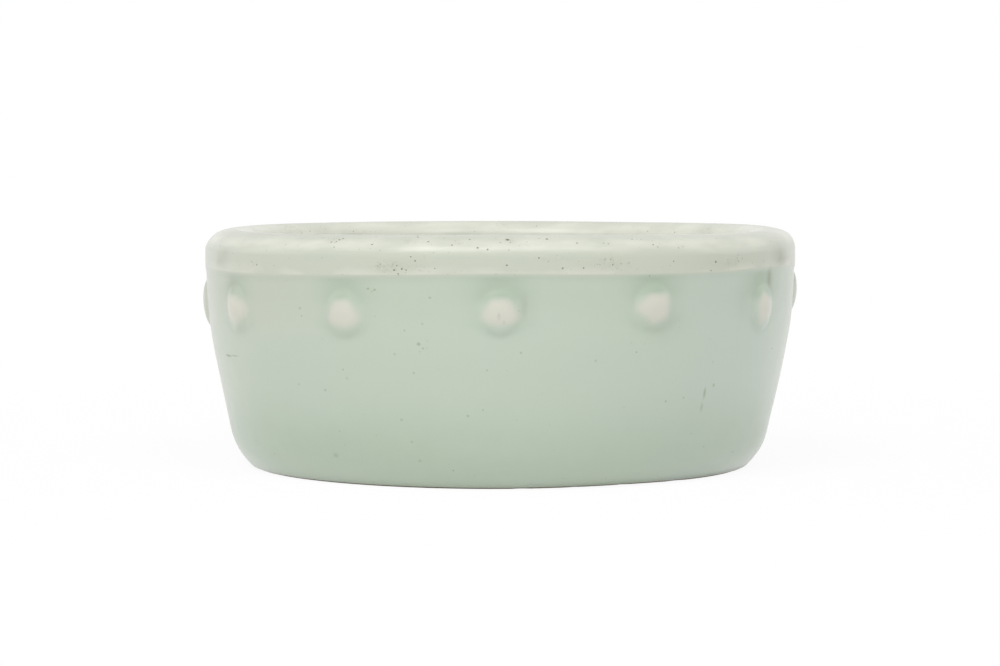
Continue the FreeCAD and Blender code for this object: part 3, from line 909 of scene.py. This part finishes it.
def glaze_paints(shape, front, tilt, height, radius, inside, boss, across, upward):
    """What the glaze's material reads: where it is thinner, as on the collar's edges, with a painted
    highlight on the collar's shoulder and far lip and a painted reflection at the left and right sides; where
    it has pooled, as over the bosses, in the corners and low on the wall, with painted shade low on the wall
    and under the collar;
    the bare boss tips; painted shade along the crest, over the bosses, above the glaze line and in patches,
    with painted dark reflections at the collar's ends and a few darker clouds in the glaze; where it is
    cooler; and how likely pinholes are."""
    wide = np.array(TIP_WIDTHS)[boss] * MM
    tall = np.array(TIP_HEIGHTS)[boss] * MM
    lowered = upward + np.array(TIP_DROPS)[boss] * MM
    reach = np.hypot(across / wide, lowered / tall)
    around = np.arctan2(lowered, across)
    ragged = 1 + 0.07 * np.sin(3 * around + 2.3 * boss) + 0.05 * np.sin(5 * around + 1.1 * boss)
    near = (np.hypot(across, upward) < 3 * shape.boss_radius) * (1 - inside)
    tip = (1 - smoothstep(reach * ragged, 0.62, 1.30)) * near
    step = NECK_HEIGHT - shape.neck_drop
    collar = smoothstep(height, step + 0.8 * MM, step + 1.9 * MM) * (1 - inside)
    rise = shape.boss_radius
    above = bell(across, 0, 1.25 * rise) * smoothstep(upward, 0.1 * rise, 0.75 * rise)
    above = above * (1 - smoothstep(upward, 1.4 * rise, 1.9 * rise)) * (1 - collar)
    below = bell(reach, 1.75, 0.28) * smoothstep(-upward, 0.2 * rise, 0.8 * rise)
    strength = np.array(BOSS_POOLS)[boss]
    halo = (strength * above + 0.22 * below + 0.12 * bell(reach, 1.5, 0.35)) * near
    # Glaze pooled under the collar, with painted shade under its overhang
    under = 0.08 * smoothstep(height, 28 * MM, 38 * MM) * (1 - collar)
    # Darker and greener low on the wall: pooled glaze with painted shade near the floor, easing off in the
    # last few mm, where light from the floor is painted in
    low_wall_pool_and_shade = 0.62 * (1 - smoothstep(height, 5 * MM, 21 * MM))
    low_wall_pool_and_shade = low_wall_pool_and_shade * (0.3 + 0.7 * smoothstep(height, 0.5 * MM, 8 * MM))
    crest_line = 90 - 10 * (bell(front, 52, 24) + bell(front, -52, 24))
    well = 0.30 + 0.6 * bell(radius, 46 * MM, 5.5 * MM) * (1 - smoothstep(height, 9 * MM, 17 * MM))
    pool = halo + (under + low_wall_pool_and_shade) * (1 - inside) + well * inside
    # Painted highlight and shade on the collar: creamier and lighter on the shoulder, which faces the front
    # lamps, and on the far lip's inner face, less so along the crest between them, over the glaze's real
    # thinning on these edges
    edge = 0.29 * bell(tilt, 45, 28) + 0.53 * bell(tilt, 150, 50)
    lower_edge = 0.25 * bell(height, step + 2.3 * MM, 0.8 * MM)
    # Painted contact shadow: darker glaze just above the glaze line, where the foot meets the floor
    line = (1 - smoothstep(height, GLAZE_LINE - 0.5 * MM, GLAZE_LINE + 0.7 * MM)) * (1 - inside)
    worn_wall = 0.33 * bell(front, -52, 24) * smoothstep(height, 24 * MM, 34 * MM)
    # Painted reflection: paler, creamier glaze at the left and right sides, where the camera sees the wall at
    # a grazing angle
    side_sheen = 0.40 * bell(front, -82, 15) + 0.35 * bell(front, 84, 12)
    side_sheen = side_sheen * smoothstep(height, 8 * MM, 16 * MM)
    thin = collar * (0.47 + edge + lower_edge) + (worn_wall + side_sheen) * (1 - collar) * (1 - inside)
    # Painted shade: darker along the crest, whose top catches less light than the shoulder, most from the
    # left to the front; then painted shade on the wall under the collar, above each boss and just above the
    # glaze line, and the listed patches
    shade = 0.24 * bell(tilt, crest_line, 18) + 0.30 * bell(tilt, crest_line + 2, 7) * bell(front, -20, 50)
    shade = shade * (height > HEIGHT - 3 * MM) * (1 - inside)
    shade = shade + 0.045 * smoothstep(height, 30 * MM, 38 * MM) * (1 - collar) * (1 - inside)
    shade = shade + 0.03 * above * near + 0.10 * line
    for angle, middle, wide, tall, depth in SHADES:
        shade = shade + depth * bell(front, angle, wide) * bell(height, middle * MM, tall * MM)
    return {
        "thin": np.clip(thin, 0, 1),
        "pool": np.clip(pool, 0, 1) * (1 - tip),
        "tip": tip,
        "shade": np.clip(shade, 0, 1) * (1 - inside),
        "cool": smoothstep(front, 15, 55) * (1 - smoothstep(front, 130, 170)),
        "pits": pit_density(front, height) * (1 - 0.8 * inside),
    }


class WASHER_OT_glaze_coat(bpy.types.Operator):
    """The coat of glaze, from the bare foot over the wall, the bosses and the collar down into the well"""

    bl_idname = "washer.glaze_coat"
    bl_label = "Glaze coat"

    def execute(self, context):
        shape = context.scene.washer_shape
        outer, outer_normals = coat_section(shape, 0.0, *FACE_STEPS)
        inner, _ = coat_section(shape, GLAZE, *BACK_STEPS)
        angles = column_angles(shape)
        front = from_front(angles)

        centre = outer[-1]
        outer, outer_normals = outer[:-1], outer_normals[:-1]
        radius = outer[:, 0, None]
        height = outer[:, 1, None]
        tilt = np.degrees(np.arctan2(outer_normals[:, 1], outer_normals[:, 0]))[:, None] % 360
        tilt = np.where(tilt > 270, tilt - 360, tilt)
        inside = ((tilt > 100) & (height < NECK_HEIGHT)) | (radius < WELL_RADIUS)
        along = np.concatenate([[0], np.cumsum(np.linalg.norm(np.diff(outer, axis=0), axis=1))])[:, None]
        spiral = 2 * math.pi * along / shape.throwing_pitch + angles
        rings = shape.throwing_depth * 0.5 * (1 + np.sin(spiral)) * inside
        rings = rings * smoothstep(radius, 4 * MM, 14 * MM)
        off = rings + hand_unevenness(front, tilt, height, inside)
        face = turned_grid(outer, angles) + turned_grid(outer_normals, angles) * off[..., None]
        outward, upward = foot_shift(front, height)
        face += spread_out(angles, outward * (1 - inside), upward * (1 - inside))
        seam = bell(height, NECK_HEIGHT + 0.2 * MM, 2.2 * MM) * (1 - inside)
        face[..., 2] -= seam * round_table(front, EDGE_DROPS) * MM
        face[..., 2] -= smoothstep(height, 43 * MM, 47 * MM) * round_table(front, RIM_SINKS) * MM
        lift, axes, boss, across, upward = boss_lift(face, shape, shape.boss_cover, 0.10 * MM)
        face = face + axes * lift[..., None]

        back = turned_grid(inner[:-1], angles)[::-1]
        back_lift, back_axes, _, _, _ = boss_lift(back, shape, 0.0, 0.0)
        back = back + back_axes * back_lift[..., None]
        turns = np.linspace(0, math.pi, 9)[1:-1, None, None]
        middle = (back[-1] + face[0]) / 2
        sag = np.array([0, 0, shape.bead_drop])
        bead = middle + (back[-1] - middle) * np.cos(turns) - sag * np.sin(turns)
        rows = np.concatenate([back, bead, face])
        caps = np.array([[0, 0, inner[-1, 1]], [0, 0, centre[1]]])
        coat = grid_mesh("glaze_coat_surface", rows, closed=False, caps=caps)

        paints = glaze_paints(shape, front, tilt, height, radius, inside, boss, across, upward)
        for name, values in paints.items():
            values = np.broadcast_to(values, face.shape[:2])
            hidden = np.zeros((len(back), len(angles)))
            on_bead = np.repeat(values[:1], len(bead), axis=0)
            paint(coat, name, np.concatenate([hidden, on_bead, values]), [0.0, values[-1].mean()])
        dressed(coat, known(glaze_finish, "celadon_glaze"))
        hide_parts("glaze_coat")
        return {"FINISHED"}


class WASHER_OT_base_glaze(bpy.types.Operator):
    """The glaze in the recess under the base, climbing a little up the inside of the foot"""

    bl_idname = "washer.base_glaze"
    bl_label = "Base glaze"

    def execute(self, context):
        shape = context.scene.washer_shape
        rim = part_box("base_glaze")[1].x
        climb = shape.base_meniscus
        low = RECESS_DEPTH - GLAZE
        angles = np.linspace(0, 2 * math.pi, 240, endpoint=False)
        turn = np.linspace(0, math.pi / 2, 10)[:, None]
        wave = 0.12 * climb * (np.sin(3 * angles + 0.4) + 0.5 * np.sin(7 * angles))
        radius = np.linspace(0.03, 1, 40, endpoint=False)[:, None] * (rim - climb) + 0 * angles
        swirl = 0.5 + 0.5 * np.sin(2 * math.pi * radius / (5.2 * MM) + angles)
        fading = smoothstep(radius, 2 * MM, 8 * MM) * smoothstep(rim - climb - radius, 0, 4 * MM)
        flat = low + 0.04 * MM * swirl * fading
        edge_radius = rim - climb + climb * np.sin(turn) + 0 * angles
        edge_height = low - (climb + wave) * (1 - np.cos(turn))
        top_radius = rim * np.array([1.0, 0.75, 0.5, 0.25])[:, None] + 0 * angles
        radius = np.vstack([radius, edge_radius, top_radius])
        height = np.vstack([flat, edge_height, np.full_like(top_radius, RECESS_DEPTH)])
        rows = np.stack([radius * np.cos(angles), radius * np.sin(angles), height], axis=-1)[::-1]
        caps = np.array([[0, 0, RECESS_DEPTH], [0, 0, low]])
        disc = grid_mesh("base_glaze_surface", rows[:, ::-1], closed=False, caps=caps)
        pooled = np.clip(0.25 + 0.75 * bell(radius, rim - 1.3 * climb, 2.2 * MM), 0, 1)[::-1, ::-1]
        worn = 0.9 * smoothstep(radius, rim - 0.25 * climb, rim)[::-1, ::-1]
        paints = {"thin": worn, "pool": pooled, "pits": 0.05 + 0 * pooled}
        for name in ("thin", "pool", "tip", "shade", "cool", "pits"):
            paint(disc, name, paints.get(name, 0 * pooled), [0.0, 0.0])
        dressed(disc, known(glaze_finish, "celadon_glaze"))
        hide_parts("base_glaze")
        return {"FINISHED"}


class WASHER_OT_foot_ring(bpy.types.Operator):
    """The bare foot ring, with its edges worn round and faint rings from turning"""

    bl_idname = "washer.foot_ring"
    bl_label = "Foot ring"

    def execute(self, context):
        shape = context.scene.washer_shape
        corner = coat_bends(shape)[0]
        stand = corner.at(corner.angle_at(0.0, GLAZE), GLAZE)[0]
        inner = stand - shape.foot_width
        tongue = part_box("foot_ring")[1].z
        middle = (stand + inner) / 2
        half = shape.tongue_width / 2
        worn = shape.foot_rounding
        low, high = corner.angle_at(worn, GLAZE), corner.angle_at(RECESS_DEPTH, GLAZE)
        wall, _ = Bend(corner.centre, corner.radius, low, high).sampled(0.3 * MM, math.radians(3), GLAZE)
        turns = np.linspace(-math.pi / 2, 0, 7)
        outer_edge = np.stack([wall[0, 0] - worn + worn * np.cos(turns), worn + worn * np.sin(turns)], axis=1)
        inner_edge = np.stack([inner + worn - worn * np.cos(turns), worn + worn * np.sin(turns)], axis=1)
        across = np.linspace(inner_edge[0, 0], outer_edge[0, 0], 26)[1:-1]
        groove = 0.035 * MM * (1 - np.cos(2 * math.pi * (across - inner) / (0.9 * MM)))
        sole = np.stack([across, groove], axis=1)
        top = [
            (middle + half, RECESS_DEPTH),
            (middle + half, tongue),
            (middle - half, tongue),
            (middle - half, RECESS_DEPTH),
            (inner, RECESS_DEPTH),
        ]
        section = np.concatenate([inner_edge[::-1], sole, outer_edge[:-1], wall, top])
        angles = np.linspace(0, 2 * math.pi, 288, endpoint=False)
        front = from_front(angles)
        level = section[:, 1:]
        outside = smoothstep(section[:, :1], middle + half, outer_edge[0, 0])
        swell = shape.foot_swell * smoothstep(level, 0, worn)
        swell = swell * (1 - smoothstep(level, GLAZE_LINE - worn, GLAZE_LINE))
        outward, upward = foot_shift(front, level)
        rows = turned_grid(section, angles)
        rows += spread_out(angles, (outward + swell) * outside, upward * (level < GLAZE_LINE))
        on_sole = (section[:, 1] < 2 * worn)[:, None]
        nick = 0.05 * MM * bell(np.sin(angles * 23 + 2 * np.sin(angles * 5)), 1, 0.2) * on_sole
        rows[..., 2] += nick * (rows[..., 2] > 0.01 * MM)
        ring = grid_mesh("foot_ring_turned", rows, closed=True)
        look = context.scene.washer_look
        finish = known(clay_finish, "burnt_foot", "burnt_foot", look.foot_tan, look.foot_burn)
        dressed(ring, finish)
        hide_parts("foot_ring")
        return {"FINISHED"}


class WASHER_OT_clay(bpy.types.Operator):
    """Fired clay on the wall, the collar and the bosses under the glaze"""

    bl_idname = "washer.clay"
    bl_label = "Clay"

    def execute(self, context):
        look = context.scene.washer_look
        body = known(clay_finish, "thrown_clay", "thrown_clay", look.clay_buff, look.foot_tan)
        boss = known(clay_finish, "pressed_clay", "pressed_clay", look.tip_cream, look.clay_buff, 0.6)
        for name in ["thrown_body", "rim_collar"] + BOSS_NODES:
            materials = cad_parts[name].data.materials
            materials.clear()
            materials.append(boss if name in BOSS_NODES else body)
        return {"FINISHED"}


def lamp(name, watts, width, turn, rise, distance):
    """A square softbox aimed at the washer, at an angle round from the camera and a height angle."""
    light = bpy.data.lights.new(name, "AREA")
    light.energy = watts
    light.size = width
    holder = bpy.data.objects.new(name, light)
    away = Vector((math.sin(turn) * math.cos(rise), -math.cos(turn) * math.cos(rise), math.sin(rise)))
    middle = Vector((0, 0, HEIGHT / 2))
    holder.location = middle + distance * away
    holder.rotation_euler = away.to_track_quat("Z", "Y").to_euler()
    bpy.context.scene.collection.objects.link(holder)


def seen_plain(nodes):
    """1 for rays that come from the camera, a mirror or through glass, else 0."""
    path = nodes.node("ShaderNodeLightPath")
    names = ("Is Camera Ray", "Is Glossy Ray", "Is Transmission Ray")
    seen, mirrored, through = [Value(nodes, path.outputs[name]) for name in names]
    return (seen + mirrored + through).clamped()


def floor_finish(stage):
    """Pale floor that takes the shadow, lifted towards white where the camera or a reflection sees it."""
    finish = Finish("floor")
    finish.set(Base_Color=tuple(stage.floor_grey) + (1.0,), Roughness=0.9, Specular_IOR_Level=0.0)
    glow = finish.node("ShaderNodeEmission", {}, {"Color": (1.0, 1.0, 1.0), "Strength": 1.0})
    away = finish.number("ShaderNodeVectorMath", {"operation": "LENGTH"}, {0: finish.place}, "Value")
    glowing = stage.floor_glow + away.ramp(0.07, stage.glow_reach) * (1 - stage.floor_glow)
    lifted = seen_plain(finish) * glowing
    inputs = {0: lifted, 1: finish.surface.outputs[0], 2: glow.outputs[0]}
    mixed = finish.node("ShaderNodeMixShader", {}, inputs)
    finish.tree.links.new(mixed.outputs[0], finish.output.inputs[0])
    return finish.material


def surroundings(stage):
    """White all round: as bright as daylight for lighting, and plain white where it is seen."""
    world = bpy.data.worlds.new("studio")
    bpy.context.scene.world = world
    world.use_nodes = True
    nodes = Nodes(world.node_tree)
    background = next(node for node in nodes.tree.nodes if node.type == "BACKGROUND")
    background.inputs["Color"].default_value = (1.0, 1.0, 1.0, 1.0)
    strength = stage.daylight + seen_plain(nodes) * (1 - stage.daylight)
    nodes.tree.links.new(strength.socket, background.inputs["Strength"])


class WASHER_OT_stage(bpy.types.Operator):
    """A pale floor, soft light from all round, four softboxes and the camera"""

    bl_idname = "washer.stage"
    bl_label = "Stage"

    def execute(self, context):
        stage = context.scene.washer_stage
        angles = np.linspace(0, 2 * math.pi, 64, endpoint=False)
        rings = stage.floor_radius * np.array([1.0, 0.3, 0.1, 0.03])[:, None]
        rows = np.stack([rings * np.cos(angles), rings * np.sin(angles), 0 * rings + 0 * angles], axis=-1)
        thickness = Vector((0, 0, 10 * MM))
        floor = grid_mesh("floor", rows, closed=False, caps=np.array([-thickness, (0, 0, 0)]))
        floor.data.materials.append(known(floor_finish, "floor", stage))
        surroundings(stage)
        far = stage.lamp_distance
        lamp("left_softbox", stage.left_watts, stage.left_width, -stage.lamp_turn, stage.lamp_height, far)
        lamp("right_softbox", stage.right_watts, stage.right_width, stage.lamp_turn, stage.lamp_height, far)
        lamp("left_side", stage.side_watts, stage.side_width, -stage.side_turn, stage.side_height, far)
        lamp("right_side", stage.side_watts, stage.side_width, stage.side_turn, stage.side_height, far)
        camera = bpy.data.objects.new("camera", bpy.data.cameras.new("camera"))
        camera.data.lens = stage.camera_lens
        camera.data.clip_start = 0.01
        away = Vector((0, -math.cos(stage.camera_rise), math.sin(stage.camera_rise)))
        camera.location = Vector((0, 0, stage.camera_aim)) + stage.camera_distance * away
        camera.rotation_euler = away.to_track_quat("Z", "Y").to_euler()
        context.scene.collection.objects.link(camera)
        context.scene.camera = camera
        context.scene.view_settings.view_transform = "Standard"
        return {"FINISHED"}


OPERATORS = (
    WASHER_OT_glaze_coat,
    WASHER_OT_base_glaze,
    WASHER_OT_foot_ring,
    WASHER_OT_clay,
    WASHER_OT_stage,
)
GROUPS = {"washer_shape": WasherShape, "washer_look": WasherLook, "washer_stage": WasherStage}


class WASHER_PT_sidebar(bpy.types.Panel):
    """The washer's pieces and the sizes and colours that they are made from"""

    bl_idname = "WASHER_PT_sidebar"
    bl_label = "Brush washer"
    bl_space_type = "VIEW_3D"
    bl_region_type = "UI"
    bl_category = "Washer"

    def draw(self, context):
        for maker in OPERATORS:
            self.layout.operator(maker.bl_idname)
        for name, group in GROUPS.items():
            box = self.layout.box()
            for prop in group.__annotations__:
                box.prop(getattr(context.scene, name), prop)


def register():
    for kind in tuple(GROUPS.values()) + OPERATORS + (WASHER_PT_sidebar,):
        bpy.utils.register_class(kind)
    for name, group in GROUPS.items():
        setattr(bpy.types.Scene, name, PointerProperty(type=group))


def unregister():
    for name in GROUPS:
        delattr(bpy.types.Scene, name)
    for kind in (WASHER_PT_sidebar,) + OPERATORS + tuple(GROUPS.values()):
        bpy.utils.unregister_class(kind)


def main():
    register()
    bpy.ops.washer.glaze_coat()
    bpy.ops.washer.base_glaze()
    bpy.ops.washer.foot_ring()
    bpy.ops.washer.clay()
    bpy.ops.washer.stage()


if __name__ == "__main__":
    main()
